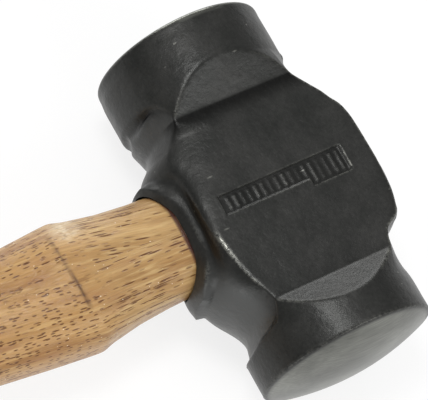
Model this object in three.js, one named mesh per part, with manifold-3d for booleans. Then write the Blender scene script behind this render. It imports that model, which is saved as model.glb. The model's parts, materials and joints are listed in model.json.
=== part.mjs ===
// A farrier's rounding hammer, lying on its side: one forged head with a flat and a domed striking
// end, a wooden handle through its eye, a wooden wedge in the handle's saw kerf and two steel wedges.
// Millimetres. X runs along the handle with + towards the outer end of the eye, Y runs along the
// head with + towards the flat striking end, and Z is up, out of the upper cheek.
import * as THREE from "three";
import { mergeVertices } from "three/addons/utils/BufferGeometryUtils.js";
import Module from "manifold-3d";

const wasm = await Module();
wasm.setup();

// Head: striking ends, measured along Y from the middle of the cheeks
const FLAT_END_REACH = 47.4;
const DOMED_END_REACH = 45;
const END_DIAMETER = 45;
const FLAT_EDGE_RADIUS = 1.6;
const DOME_RADIUS = 65;
const DOME_EDGE = 0.6;

// Head: cheeks, the flats above and below the eye, with ramps up to the striking ends. The upper
// cheek has a shallow sunk panel, narrow near the handle and wide near the outer face.
const CHEEK_THICKNESS = 32.7;
const CHEEK_LENGTH = 50.4;
const CHEEK_RAMP = THREE.MathUtils.degToRad(36);
const PANEL_DEPTH = 0.5;
const PANEL_START = -15.5;
const PANEL_STEP = 8.2;
const PANEL_END = 18.8;
const PANEL_NARROW = 4;
const PANEL_WIDE = 7.8;

// Head: the swelling round the eye, turned about a line BODY_OFFSET out from the head's axis, and
// the necks, dips in both flanks between the swelling and the striking ends
const BODY_RADIUS = 27.8;
const BODY_OFFSET = 2.5;
const BODY_HALF_LENGTH = 30;
const BODY_FALL = 8.9;
const BODY_POWER = 2.6;
const OUTER_FACE_REACH = 26.5;
const OUTER_FACE_HALF_LENGTH = 7;
const OUTER_CORNER_RADIUS = 24;
const OUTER_CORNER_RUN = 14;
const NECK_AT = 27.5;
const NECK_DEPTH = 1.5;
const NECK_HALF_WIDTH = 5.5;
const NECK_SPREAD = THREE.MathUtils.degToRad(52);
const NECK_FULL = THREE.MathUtils.degToRad(34);

// Head: the eye, an hourglass from the collar to the outer face, and the collar round its mouth. The
// eye is at the middle of the head's length, which EYE_SHIFT puts nearer the flat end than the cheeks.
const EYE_MOUTH_WIDTH = 27.4;
const EYE_MOUTH_HEIGHT = 20.4;
const EYE_WAIST_WIDTH = 25.4;
const EYE_WAIST_HEIGHT = 18.6;
const EYE_WAIST_AT = -8;
const EYE_OUTER_WIDTH = 28;
const EYE_OUTER_HEIGHT = 21;
const EYE_SHIFT = 1.5;
const COLLAR_REACH = 28.6;
const COLLAR_SIDE_WALL = 3.6;
const COLLAR_TOP_WALL = 2.2;
const COLLAR_EDGE = 1.2;
const COLLAR_END_RADIUS = 18.4;
const COLLAR_FLARE = 2.2;
const COLLAR_FLARE_LENGTH = 5;

// Handle: lengths along X from the middle of the eye, widths along Y, heights along Z
const FIT_GAP = 0.3;
const HANDLE_LENGTH = 353;
const TONGUE_PROUD = 0.8;
const SHOULDER_AT = 51;
const SHOULDER_WIDTH = 32.6;
const SHOULDER_HEIGHT = 24.4;
const WAIST_AT = 112;
const WAIST_WIDTH = 23;
const WAIST_HEIGHT = 19;
const GRIP_AT = 235;
const GRIP_WIDTH = 31;
const GRIP_HEIGHT = 24;
const BUTT_WIDTH = 30;
const BUTT_HEIGHT = 23.4;
const BUTT_CHAMFER = 3;

// Wedges, driven in from the outer end of the eye
const WOOD_WEDGE_LENGTH = 34;
const WOOD_WEDGE_THICK = 3.4;
const WOOD_WEDGE_TIP = 0.9;
const WOOD_WEDGE_EDGE = 1.6;
const STEEL_WEDGE_LENGTH = 20;
const STEEL_WEDGE_WIDTH = 12;
const STEEL_WEDGE_THICK = 2.4;
const STEEL_WEDGE_TIP = 0.7;
const STEEL_WEDGE_SPACING = 12.5;

// Facets. An oval section is an ellipse at power 2 and gets squarer as OVAL_POWER rises. FAR is past
// the whole head, and SLIVER is the size below which a facet left by a cut is merged away.
const ROUND_SIDES = 72;
const OVAL_SIDES = 48;
const DOME_STEPS = 10;
const EDGE_STEPS = 4;
const NECK_STEPS = 4;
const BODY_STEPS = 14;
const CORNER_STEPS = 8;
const GRIP_STEPS = 28;
const OVAL_POWER = 2.7;
const FAR = 80;
const SLIVER = 0.01;

const endRadius = END_DIAMETER / 2;
const cheekHalf = CHEEK_THICKNESS / 2;
const tongueEnd = OUTER_FACE_REACH + TONGUE_PROUD;
const butt = tongueEnd - HANDLE_LENGTH;

// A closed three.js geometry as a manifold-3d solid.
function solidOf(geometry) {
  const bare = geometry.clone();
  bare.deleteAttribute("normal");
  bare.deleteAttribute("uv");
  const merged = mergeVertices(bare, 1e-4);
  const vertProperties = merged.attributes.position.array;
  const triVerts = new Uint32Array(merged.index.array);
  return new wasm.Manifold(new wasm.Mesh({ numProp: 3, vertProperties, triVerts }));
}

// A manifold-3d solid as a named mesh, without the slivers that cuts leave.
function meshOf(name, solid, material) {
  const { vertProperties, triVerts } = solid.asOriginal().simplify(SLIVER).getMesh();
  const geometry = new THREE.BufferGeometry();
  geometry.setAttribute("position", new THREE.BufferAttribute(vertProperties, 3));
  geometry.setIndex(new THREE.BufferAttribute(triVerts, 1));
  geometry.computeVertexNormals();
  const mesh = new THREE.Mesh(geometry, material);
  mesh.name = name;
  return mesh;
}

// A box of the given size with its lowest corner at low.
function boxSolid(x, y, z, low) {
  const box = new THREE.BoxGeometry(x, y, z);
  box.translate(low[0] + x / 2, low[1] + y / 2, low[2] + z / 2);
  return solidOf(box);
}

// A profile of [radius, y] pairs turned about the Y axis.
function turned(profile) {
  const points = profile.map(([radius, y]) => new THREE.Vector2(radius, y));
  return new THREE.LatheGeometry(points, ROUND_SIDES);
}

// An outline of [y, z] pairs drawn out along X, from x = from to x = to.
function drawnAlongX(outline, from, to) {
  const shape = new THREE.Shape(outline.map(([y, z]) => new THREE.Vector2(y, z)));
  const slab = new THREE.ExtrudeGeometry(shape, { depth: to - from, bevelEnabled: false });
  slab.applyMatrix4(new THREE.Matrix4().makeBasis(
    new THREE.Vector3(0, 1, 0),
    new THREE.Vector3(0, 0, 1),
    new THREE.Vector3(1, 0, 0),
  ));
  slab.translate(from, 0, 0);
  return solidOf(slab);
}

// Sections { x, width, height } joined into one solid of oval section, in order of rising x.
function lofted(stations) {
  const last = stations.length - 1;
  const skin = new THREE.CylinderGeometry(1, 1, 1, OVAL_SIDES, last);
  const place = skin.attributes.position;
  const squared = (v) => Math.sign(v) * Math.abs(v) ** (2 / OVAL_POWER);
  for (let i = 0; i < place.count; i++) {
    const station = stations[Math.round((0.5 - place.getY(i)) * last)];
    const y = squared(place.getX(i)) * station.width / 2;
    const z = squared(place.getZ(i)) * station.height / 2;
    place.setXYZ(i, station.x, y, z);
  }
  return solidOf(skin);
}

// Stations on a smooth curve through the given ones.
function smoothed(stations, count) {
  const through = stations.map((s) => new THREE.Vector3(s.x, s.width, s.height));
  const curve = new THREE.CatmullRomCurve3(through, false, "centripetal");
  return curve.getPoints(count).map((p) => ({ x: p.x, width: p.y, height: p.z }));
}

// Points [x, y] on an arc between two angles.
function arc(centreX, centreY, radius, from, to, steps) {
  const points = [];
  for (let i = 0; i <= steps; i++) {
    const angle = from + (to - from) * i / steps;
    points.push([centreX + radius * Math.cos(angle), centreY + radius * Math.sin(angle)]);
  }
  return points;
}

// The neck beside a striking end, as distances along Y, with side -1 for the domed end.
function neckRows(side) {
  const rows = [];
  for (let i = -NECK_STEPS; i <= NECK_STEPS; i++) {
    rows.push([endRadius, side * NECK_AT + i / NECK_STEPS * NECK_HALF_WIDTH]);
  }
  return rows;
}

// Sinks both flanks of the necks into the round bar. The dip fades out above and below the flanks.
function forgeNecks(bar) {
  const place = bar.attributes.position;
  for (let i = 0; i < place.count; i++) {
    const radius = Math.hypot(place.getX(i), place.getZ(i));
    const along = Math.min(Math.abs(Math.abs(place.getY(i)) - NECK_AT) / NECK_HALF_WIDTH, 1);
    if (radius > endRadius - NECK_DEPTH && along < 1) {
      const flank = Math.abs(place.getX(i)) / radius;
      const spread = THREE.MathUtils.smoothstep(flank, Math.cos(NECK_SPREAD), Math.cos(NECK_FULL));
      const shrink = 1 - NECK_DEPTH * Math.cos(along * Math.PI / 2) ** 2 * spread / radius;
      place.setXYZ(i, place.getX(i) * shrink, place.getY(i), place.getZ(i) * shrink);
    }
  }
  return bar;
}

// The round bar that the head is forged from, domed at -Y and flat with a rounded edge at +Y.
function roundBar() {
  const domeCentre = DOME_RADIUS - DOMED_END_REACH;
  const domeRim = Math.asin((endRadius - DOME_EDGE) / DOME_RADIUS);
  const dome = arc(0, domeCentre, DOME_RADIUS, -Math.PI / 2, domeRim - Math.PI / 2, DOME_STEPS);
  dome[0][0] = 0;
  const rim = [endRadius, dome[dome.length - 1][1] + DOME_EDGE];
  const edgeX = endRadius - FLAT_EDGE_RADIUS;
  const edgeY = FLAT_END_REACH - FLAT_EDGE_RADIUS;
  const rounding = arc(edgeX, edgeY, FLAT_EDGE_RADIUS, 0, Math.PI / 2, EDGE_STEPS);
  const profile = [...dome, rim, ...neckRows(-1), ...neckRows(1), ...rounding, [0, FLAT_END_REACH]];
  return solidOf(forgeNecks(turned(profile)));
}

// The swelling round the eye, a little further out on the side away from the handle.
function bodySwelling() {
  const profile = [[0, -BODY_HALF_LENGTH]];
  for (let i = -BODY_STEPS; i <= BODY_STEPS; i++) {
    const share = i / BODY_STEPS;
    profile.push([BODY_RADIUS - BODY_FALL * Math.abs(share) ** BODY_POWER, share * BODY_HALF_LENGTH]);
  }
  profile.push([0, BODY_HALF_LENGTH]);
  return solidOf(turned(profile)).translate([BODY_OFFSET, 0, 0]);
}

// The wood side of the eye: a collar with a rounded, slightly crowned end.
function collar() {
  const width = EYE_MOUTH_WIDTH + 2 * COLLAR_SIDE_WALL;
  const height = EYE_MOUTH_HEIGHT + 2 * COLLAR_TOP_WALL;
  const foot = COLLAR_REACH - COLLAR_EDGE - COLLAR_FLARE_LENGTH;
  const grown = (x, wider, higher) => ({ x, width: width + wider, height: height + higher });
  const stations = [
    grown(-COLLAR_REACH, -2 * COLLAR_EDGE, -2 * COLLAR_EDGE),
    grown(-COLLAR_REACH + COLLAR_EDGE, 0, 0),
    grown(-foot - COLLAR_FLARE_LENGTH / 2, COLLAR_FLARE / 2, COLLAR_FLARE / 4),
    grown(-foot, 2 * COLLAR_FLARE, COLLAR_FLARE),
    grown(0, 2 * COLLAR_FLARE, COLLAR_FLARE),
  ];
  const crown = new THREE.CylinderGeometry(COLLAR_END_RADIUS, COLLAR_END_RADIUS, 2 * FAR, ROUND_SIDES);
  crown.translate(COLLAR_END_RADIUS - COLLAR_REACH, 0, 0);
  return lofted(stations).intersect(solidOf(crown));
}

// Sections of the eye, or of a piece that fills it with the given gap all round.
function eyeStations(gap, from, to) {
  const mouth = { x: -COLLAR_REACH, width: EYE_MOUTH_WIDTH, height: EYE_MOUTH_HEIGHT };
  const waist = { x: EYE_WAIST_AT, width: EYE_WAIST_WIDTH, height: EYE_WAIST_HEIGHT };
  const outer = { x: OUTER_FACE_REACH, width: EYE_OUTER_WIDTH, height: EYE_OUTER_HEIGHT };
  const sized = (s, x) => ({ x, width: s.width - 2 * gap, height: s.height - 2 * gap });
  return [sized(mouth, from), sized(mouth, mouth.x), sized(waist, waist.x), sized(outer, outer.x),
    sized(outer, to)];
}

// What is cut away beyond the outer face, its rounded corners and the outer flanks of the necks.
function outerCut() {
  const neck = endRadius - NECK_DEPTH;
  const run = Math.asin(OUTER_CORNER_RUN / OUTER_CORNER_RADIUS);
  const centre = OUTER_FACE_REACH - OUTER_CORNER_RADIUS;
  const upper = arc(centre, OUTER_FACE_HALF_LENGTH, OUTER_CORNER_RADIUS, 0, run, CORNER_STEPS);
  const flank = [[neck, NECK_AT - NECK_HALF_WIDTH / 2], [neck, BODY_HALF_LENGTH], [FAR, BODY_HALF_LENGTH]];
  const side = [...upper, ...flank];
  const mirrored = side.map(([x, y]) => [x, -y]).reverse();
  const outline = new THREE.Shape([...mirrored, ...side].map(([x, y]) => new THREE.Vector2(x, y)));
  const slab = new THREE.ExtrudeGeometry(outline, { depth: 2 * FAR, bevelEnabled: false });
  slab.translate(0, 0, -FAR);
  return solidOf(slab);
}

// The flat of a cheek with its ramps up to the striking ends, as what is cut away above it.
function cheekCut() {
  const flat = CHEEK_LENGTH / 2;
  const run = (FAR - cheekHalf) / Math.tan(CHEEK_RAMP);
  const outline = [[-flat, cheekHalf], [flat, cheekHalf], [flat + run, FAR], [-flat - run, FAR]];
  return drawnAlongX(outline, -FAR, FAR);
}

// A sunk, bare panel in the upper cheek, with a narrow and a wide stretch.
function panelCut() {
  const depth = 2 * PANEL_DEPTH;
  const low = cheekHalf - PANEL_DEPTH;
  const stretch = (from, width) => boxSolid(PANEL_END - from, width, depth, [from, -width / 2, low]);
  return stretch(PANEL_START, PANEL_NARROW).add(stretch(PANEL_STEP, PANEL_WIDE));
}

function makeHead() {
  const upper = cheekCut();
  const shaped = roundBar()
    .add(bodySwelling().subtract(outerCut()))
    .subtract(upper)
    .subtract(upper.mirror([0, 0, 1]))
    .add(collar())
    .subtract(panelCut());
  const eye = lofted(eyeStations(0, -COLLAR_REACH - 1, OUTER_FACE_REACH + 1));
  return shaped.subtract(eye.translate([0, EYE_SHIFT, 0]));
}

// A block with flat sides between two sections { x, width, height }, grown by gap all round.
function taperedBlock(tip, head, gap) {
  const block = new THREE.BoxGeometry(1, 1, 1);
  const place = block.attributes.position;
  for (let i = 0; i < place.count; i++) {
    const outer = place.getX(i) > 0;
    const { x, width, height } = outer ? head : tip;
    const y = place.getY(i) * (width + 2 * gap);
    const z = place.getZ(i) * (height + 2 * gap);
    place.setXYZ(i, outer ? x + gap : x - gap, y, z);
  }
  return solidOf(block);
}

// The wooden wedge, or with a gap the saw kerf that it is driven into.
function woodWedge(gap) {
  const width = Math.min(EYE_WAIST_WIDTH, EYE_OUTER_WIDTH) - 2 * WOOD_WEDGE_EDGE;
  const tip = { x: tongueEnd - WOOD_WEDGE_LENGTH, width, height: WOOD_WEDGE_TIP };
  return taperedBlock(tip, { x: tongueEnd, width, height: WOOD_WEDGE_THICK }, gap);
}

// A steel wedge, or with a gap its slot. It stands across the wooden wedge, at y = at.
function steelWedge(at, gap) {
  const height = STEEL_WEDGE_WIDTH;
  const tip = { x: tongueEnd - STEEL_WEDGE_LENGTH, width: STEEL_WEDGE_TIP, height };
  return taperedBlock(tip, { x: tongueEnd, width: STEEL_WEDGE_THICK, height }, gap).translate([0, at, 0]);
}

const steelWedgePlaces = [-STEEL_WEDGE_SPACING / 2, STEEL_WEDGE_SPACING / 2];

// Sections of the wood outside the head, from the butt to the collar.
function gripStations() {
  const mouthWidth = EYE_MOUTH_WIDTH - 2 * FIT_GAP;
  const mouthHeight = EYE_MOUTH_HEIGHT - 2 * FIT_GAP;
  const curve = smoothed([
    { x: butt + BUTT_CHAMFER, width: BUTT_WIDTH, height: BUTT_HEIGHT },
    { x: -GRIP_AT, width: GRIP_WIDTH, height: GRIP_HEIGHT },
    { x: -WAIST_AT, width: WAIST_WIDTH, height: WAIST_HEIGHT },
    { x: -SHOULDER_AT, width: SHOULDER_WIDTH, height: SHOULDER_HEIGHT },
  ], GRIP_STEPS);
  return [
    { x: butt, width: BUTT_WIDTH - 2 * BUTT_CHAMFER, height: BUTT_HEIGHT - 2 * BUTT_CHAMFER },
    ...curve,
    { x: -COLLAR_REACH - FIT_GAP, width: mouthWidth, height: mouthHeight },
  ];
}

function makeHandle() {
  const grip = lofted(gripStations());
  const tongue = lofted(eyeStations(FIT_GAP, -SHOULDER_AT + 15, tongueEnd));
  const blank = grip.add(tongue);
  const slots = [woodWedge(FIT_GAP), ...steelWedgePlaces.map((at) => steelWedge(at, FIT_GAP))];
  return slots.reduce((wood, slot) => wood.subtract(slot), blank);
}

function makeWoodWedge() {
  const slots = steelWedgePlaces.map((at) => steelWedge(at, FIT_GAP));
  return slots.reduce((wedge, slot) => wedge.subtract(slot), woodWedge(0));
}

// How far the hammer leans so that the handle's lowest stretch rests on the bench with the head.
function restingLean() {
  const leans = gripStations().map(({ x, height }) => {
    const far = Math.hypot(x, height / 2);
    return Math.asin(endRadius / far) - Math.atan2(height / 2, -x);
  });
  return Math.min(...leans);
}

const forgedSteel = new THREE.MeshStandardMaterial({ color: 0x45453f, roughness: 0.55, metalness: 0.6 });
const varnishedWood = new THREE.MeshStandardMaterial({ color: 0xad8860, roughness: 0.45, metalness: 0 });
const wedgeWood = new THREE.MeshStandardMaterial({ color: 0xc9a777, roughness: 0.7, metalness: 0 });
const wedgeSteel = new THREE.MeshStandardMaterial({ color: 0x8c8c88, roughness: 0.4, metalness: 0.9 });

// The handle and its wedges share the middle line of the eye.
const inEye = new THREE.Group();
inEye.add(meshOf("handle", makeHandle(), varnishedWood));
inEye.add(meshOf("wooden_wedge", makeWoodWedge(), wedgeWood));
steelWedgePlaces.forEach((at, i) => {
  inEye.add(meshOf("steel_wedge_" + (i + 1), steelWedge(at, 0), wedgeSteel));
});
inEye.position.y = EYE_SHIFT;

const leaning = new THREE.Group();
leaning.add(meshOf("head", makeHead(), forgedSteel));
leaning.add(inEye);
leaning.rotation.y = -restingLean();

// The origin is at the middle of the bottom of the hammer's box, on the bench.
const hammer = new THREE.Group();
hammer.add(leaning);
hammer.updateMatrixWorld(true);
const box = new THREE.Box3().setFromObject(hammer, true);
const middle = box.getCenter(new THREE.Vector3());
leaning.position.set(-middle.x, -middle.y, -box.min.z);

export default hammer;
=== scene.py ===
"""A farrier's rounding hammer, lying on its side: a forged head, a varnished handle and its wedges."""

import json
import math

import bmesh
import bpy
import numpy as np
from mathutils import Matrix, Vector, noise


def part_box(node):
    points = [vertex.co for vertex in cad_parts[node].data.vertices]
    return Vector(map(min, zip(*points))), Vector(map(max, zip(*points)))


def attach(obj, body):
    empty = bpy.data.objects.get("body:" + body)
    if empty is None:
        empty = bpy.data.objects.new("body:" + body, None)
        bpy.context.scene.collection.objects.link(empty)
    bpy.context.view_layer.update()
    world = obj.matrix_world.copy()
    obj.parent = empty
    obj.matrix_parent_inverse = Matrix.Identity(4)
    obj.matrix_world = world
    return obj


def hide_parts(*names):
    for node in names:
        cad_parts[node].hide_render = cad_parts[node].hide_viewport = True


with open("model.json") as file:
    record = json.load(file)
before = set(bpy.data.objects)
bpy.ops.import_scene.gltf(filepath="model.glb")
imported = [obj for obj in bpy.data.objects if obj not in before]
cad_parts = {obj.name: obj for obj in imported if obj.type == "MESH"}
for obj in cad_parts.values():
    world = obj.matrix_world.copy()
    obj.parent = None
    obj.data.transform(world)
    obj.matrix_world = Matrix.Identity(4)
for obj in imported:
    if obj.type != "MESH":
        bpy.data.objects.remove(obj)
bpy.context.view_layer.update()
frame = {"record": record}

MM = 0.001


def linear(code):
    """An sRGB hex colour as linear red, green and blue, and an alpha of 1."""
    channels = [int(code[i : i + 2], 16) / 255 for i in (1, 3, 5)]
    lit = [c / 12.92 if c <= 0.04045 else ((c + 0.055) / 1.055) ** 2.4 for c in channels]
    return (*lit, 1.0)


# ---------------------------------------------------------------------------------------------
# The frame that the hammer is made in: x out of the eye, y towards the flat face, z out of the
# upper cheek, from the point on the head's axis between the cheeks. The hammer leans a little,
# because the butt of its handle rests on the bench too.

FLAT_END_REACH = 47.4
DOMED_END_REACH = 45.0

mounts = {mount["name"]: mount for mount in frame["record"]["mounts"]}
cheek_up = Vector(mounts["upper_cheek"]["axis"]).normalized()
head_axis = Vector(mounts["flat_striking_face"]["pos_m"])
head_low, head_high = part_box("head")
along_head = Vector((0, 1, 0))
outward = along_head.cross(cheek_up)
centre = Vector((head_axis.x, head_high.y - FLAT_END_REACH * MM, (head_low.z + head_high.z) / 2))
placing = Matrix.Translation(centre) @ Matrix((outward, along_head, cheek_up)).transposed().to_4x4()
placing = placing @ Matrix.Scale(MM, 4)


def placed(x, y, z):
    """A point of the hammer's own frame, in millimetres, in the scene."""
    return placing @ Vector((x, y, z))


def turned(x, y, z):
    """A direction of the hammer's own frame in the scene."""
    return outward * x + along_head * y + cheek_up * z


# ---------------------------------------------------------------------------------------------
# Camera, lamps and bench

camera_data = bpy.data.cameras.new("camera")
camera_data.sensor_width = 36
camera_data.sensor_fit = "HORIZONTAL"
camera_data.lens = 199.0
camera_data.clip_start = 0.01
camera = bpy.data.objects.new("camera", camera_data)
bpy.context.scene.collection.objects.link(camera)
back = turned(-0.336, -0.282, 0.8986).normalized()
right = turned(0.8639, -0.4724, 0.1748)
right = (right - back * right.dot(back)).normalized()
up = back.cross(right)
facing = Matrix((right, up, back)).transposed().to_4x4()
camera.matrix_world = Matrix.Translation(placed(-204.75, -155.12, 519.67)) @ facing
bpy.context.scene.camera = camera
bpy.context.scene.view_settings.view_transform = "Standard"


def lamp(name, place, aim, size, watts):
    """A soft rectangular lamp at a place, turned to what it lights."""
    data = bpy.data.lights.new(name, "AREA")
    data.shape = "RECTANGLE"
    data.size, data.size_y = size
    data.energy = watts
    made = bpy.data.objects.new(name, data)
    turn = (place - aim).to_track_quat("Z", "Y").to_matrix().to_4x4()
    made.matrix_world = Matrix.Translation(place) @ turn
    bpy.context.scene.collection.objects.link(made)


# Each lamp's size is in metres. The near softbox is mirrored in the domed end's flank.
middle = placed(-20, 5, 0)
lamp("near softbox", placed(-78, 58, 400), placed(0, 0, 15), (0.11, 0.12), 0.62)
lamp("far softbox", middle + turned(0.3, 1.2, 0.25), middle, (1.0, 0.4), 6.9)
lamp("front softbox", middle + turned(0.25, -0.95, 0.62), middle, (0.9, 0.5), 5.5)
lamp("window", middle + turned(0.6, 0.91, 0.48), middle, (0.12, 0.12), 0.8)
lamp("low softbox", middle + turned(-0.95, -0.75, 0.12), middle, (0.7, 0.2), 2)


# ---------------------------------------------------------------------------------------------
# Materials


class Recipe:
    """The node tree of a new material or world while it is put together."""

    def __init__(self, owner):
        owner.use_nodes = True
        self.tree = owner.node_tree
        self.tree.nodes.clear()

    def add(self, kind, settings=None, **links):
        """A node with its settings, and its inputs set to a value or linked to a socket. An input is
        given by its name or its number: on a Mix node 0 is the share, 2 and 3 are the numbers to mix,
        4 and 5 the vectors, and 6 and 7 the colours."""
        node = self.tree.nodes.new(kind)
        for key, value in (settings or {}).items():
            setattr(node, key, value)
        for key, value in links.items():
            name = key.strip("_").replace("_", " ")
            socket = node.inputs[int(name)] if name.isdigit() else node.inputs[name]
            if isinstance(value, bpy.types.NodeSocket):
                self.tree.links.new(value, socket)
            else:
                socket.default_value = value
        return node


# Settings that many nodes share
TIMES = {"operation": "MULTIPLY"}
LARGER = {"operation": "MAXIMUM"}
TIMES_PLUS = {"operation": "MULTIPLY_ADD"}
COLOURS = {"data_type": "RGBA"}
COLOURS_TIMES = {"data_type": "RGBA", "blend_type": "MULTIPLY"}


def coloured(ramp, *stops):
    """The colour that a ramp node gives between its stops, each (position, hex colour)."""
    elements = ramp.color_ramp.elements
    for position, _ in stops[1:-1]:
        elements.new(position)
    for element, (position, code) in zip(elements, stops):
        element.position = position
        element.color = linear(code)
    return ramp.outputs["Color"]


def per(millimetres):
    """The scale of a pattern that repeats about every so many millimetres."""
    return 1000 / millimetres


def white_card():
    """White card with a faint tooth. Towards the eye and in reflections it also glows, and so stays
    white without more light on the hammer."""
    material = bpy.data.materials.new("white card")
    add = Recipe(material).add
    path = add("ShaderNodeLightPath").outputs
    place = add("ShaderNodeTexCoord").outputs["Object"]
    tooth = add("ShaderNodeTexNoise", Vector=place, Scale=per(2.5)).outputs["Fac"]
    bump = add("ShaderNodeBump", Strength=0.05, Distance=0.0002, Height=tooth).outputs["Normal"]
    card = add("ShaderNodeBsdfDiffuse", Color=linear("#f2f2f2"), Normal=bump).outputs[0]
    glow = add("ShaderNodeEmission", Color=linear("#ffffff"), Strength=1.07).outputs[0]
    seen = add("ShaderNodeMath", LARGER, _0=path["Is Camera Ray"], _1=path["Is Transmission Ray"])
    seen = add("ShaderNodeMath", LARGER, _0=seen.outputs[0], _1=path["Is Glossy Ray"])
    share = add("ShaderNodeMath", TIMES, _0=seen.outputs[0], _1=0.75).outputs[0]
    mixed = add("ShaderNodeMixShader", Fac=share, _1=card, _2=glow)
    add("ShaderNodeOutputMaterial", Surface=mixed.outputs[0])
    return material


def studio():
    """A plain room that is brighter overhead, for the steel to mirror."""
    world = bpy.data.worlds.new("studio")
    add = Recipe(world).add
    sky = add("ShaderNodeTexCoord").outputs["Generated"]
    height = add("ShaderNodeSeparateXYZ", Vector=sky).outputs["Z"]
    level = add(
        "ShaderNodeMapRange", Value=height, From_Min=0.2, From_Max=0.9, To_Min=0.24, To_Max=0.56
    ).outputs["Result"]
    light = add("ShaderNodeBackground", Color=linear("#ffffff"), Strength=level)
    add("ShaderNodeOutputWorld", Surface=light.outputs[0])
    return world


bpy.context.scene.world = studio()


def finished(name, shape, material, slot_name, *stands_for):
    """Puts a bmesh in the scene as a piece that stands for CAD nodes."""
    mesh = bpy.data.meshes.new(name)
    shape.to_mesh(mesh)
    shape.free()
    mesh.materials.append(material)
    piece = bpy.data.objects.new(name, mesh)
    bpy.context.scene.collection.objects.link(piece)
    if slot_name:
        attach(piece, "root")
        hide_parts(*stands_for)
    return piece


bench = bmesh.new()
bmesh.ops.create_grid(bench, x_segments=8, y_segments=8, size=4)
finished("bench", bench, white_card(), None)


# ---------------------------------------------------------------------------------------------
# Shaping helpers


def smooth_max(a, b, width):
    """The larger of two sizes, with a fillet of about this width where they cross."""
    share = np.clip(0.5 + 0.5 * (a - b) / width, 0, 1)
    return b + (a - b) * share + width * share * (1 - share)


def smooth_min(a, b, width):
    """The smaller of two sizes, with the edge rounded where they cross."""
    return -smooth_max(-a, -b, width)


def eased(low, high, value):
    """Rises smoothly from 0 to 1 as the value goes from low to high."""
    share = np.clip((value - low) / (high - low), 0, 1)
    return share * share * (3 - 2 * share)


def through(stations, values):
    """A smooth template curve through given stations (place, size), read at values."""
    at, size = np.array(stations, float).T
    slope = np.gradient(size, at)
    span = np.clip(np.searchsorted(at, values) - 1, 0, len(at) - 2)
    width = at[span + 1] - at[span]
    t = np.clip((values - at[span]) / width, 0, 1)
    rise = (2 * t**3 - 3 * t**2 + 1) * size[span] + (3 * t**2 - 2 * t**3) * size[span + 1]
    lean = (t**3 - 2 * t**2 + t) * slope[span] + (t**3 - t**2) * slope[span + 1]
    return rise + lean * width


def spaced(*runs):
    """Stations along a line: each run is (from, to, step), and the runs follow one another."""
    places = []
    for start, end, step in runs:
        count = max(1, round(abs(end - start) / step))
        places.extend(start + (end - start) * i / count for i in range(count))
    places.append(runs[-1][1])
    return np.array(places)


def rolled(rows, columns, shaping):
    """A closed skin: a grid rolled round an axis, whose vertices shaping(row, column) puts in place.
    Its long edges and its two ends are welded."""
    shape = bmesh.new()
    bmesh.ops.create_grid(shape, x_segments=columns - 1, y_segments=rows - 1, size=0.5)
    flat = np.array([v.co for v in shape.verts])
    row = np.rint((flat[:, 1] + 0.5) * (rows - 1)).astype(int)
    column = np.rint((flat[:, 0] + 0.5) * (columns - 1)).astype(int)
    for vert, spot in zip(shape.verts, shaping(row, column)):
        vert.co = spot
    bmesh.ops.remove_doubles(shape, verts=shape.verts, dist=1e-4)
    bmesh.ops.recalc_face_normals(shape, faces=shape.faces)
    return shape


# ---------------------------------------------------------------------------------------------
# The head, forged in one piece from a round bar. Millimetres, in the hammer's own frame.

BAR_RADIUS = 22.5
CHEEK_HALF = 16.35
CHEEK_REACH = 25.2
UPPER_RAMP = math.tan(math.radians(33.5))
LOWER_RAMP = math.tan(math.radians(38.5))
FLAT_EDGE = 1.1
DOME_RADIUS = 65.0
DOME_RIM = 41.15
DOME_EDGE = 0.5
FLAT_LEAN = 0.15
DOME_LEAN = 0.3
COLLAR_REACH = 28.3
COLLAR_CROWN = 15.5
COLLAR_CENTRE = 0.35
COLLAR_HALF_WIDTH = 16.9
COLLAR_HALF_HEIGHT = 12.1
COLLAR_END_ROOT = 19.5
COLLAR_END_SLOPE = 7.5

# The valley between the upper cheek and the collar, in degrees round the head from the handle's side
VALLEY_DEGREES = 29
VALLEY_DEPTH = 1.3

# The sunk panel of the upper cheek and the ribs on its floor
PANEL_DEPTH = 0.5
PANEL_START = -15.4
PANEL_STEP = 7.9
PANEL_END = 18.4
PANEL_TOP = 3.15
PANEL_NARROW_LOW = -1.75
PANEL_WIDE_LOW = -3.75
PANEL_WALL = 0.35
RIB_PITCH = 1.9
RIB_HEIGHT = 0.22

# Templates of the head, each as (place along the head, size). The first two are how far the cheeks
# reach at their own level, outwards and towards the handle. The next two are the radius at half the
# head's height, where the necks dip below the bar on both flanks.
OUTER_REACH = [(-34, 15.45), (-30, 15.5), (-27, 16.3), (-24.5, 17.2), (-22.3, 17.9), (-20.4, 19.2)]
OUTER_REACH += [(-19.4, 21.1), (-18.3, 22.7), (-15.4, 24), (-12.3, 25), (-8, 25.5), (0, 25.5)]
OUTER_REACH += [(6, 25.4), (10, 25.1), (13, 24.3), (15.2, 23), (17.5, 21.9), (20.9, 19.7), (25.2, 17.1)]
OUTER_REACH += [(28, 16.5), (30.5, 16.1), (33, 15.45)]
INNER_REACH = [(-34, 15.45), (-25.2, 15.3), (-23.6, 15.8), (-20.5, 17), (-16.5, 18.2), (-11, 19.4)]
INNER_REACH += [(-5.4, 20.2), (0, 20.2), (6.8, 20), (13.9, 18.4), (20.7, 16.1), (25.2, 15.45), (34, 15.45)]
OUTER_BELLY = [(-34, 22.5), (-31.5, 22.3), (-29.5, 21.8), (-26, 21.4), (-22, 21.4), (-19.8, 22.3)]
OUTER_BELLY += [(-18, 25), (-16, 26.3), (-10, 26.6), (0, 26.6), (8, 26.55), (12, 26.35), (16, 25.1)]
OUTER_BELLY += [(20, 23.4), (24, 21.6), (27, 21.2), (30, 21.5), (32, 22.1), (34, 22.5)]
INNER_BELLY = [(-34, 21.6), (-30, 20.9), (-27, 20.4), (-24, 21.3), (-22, 22.5), (-19.3, 24.5)]
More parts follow.
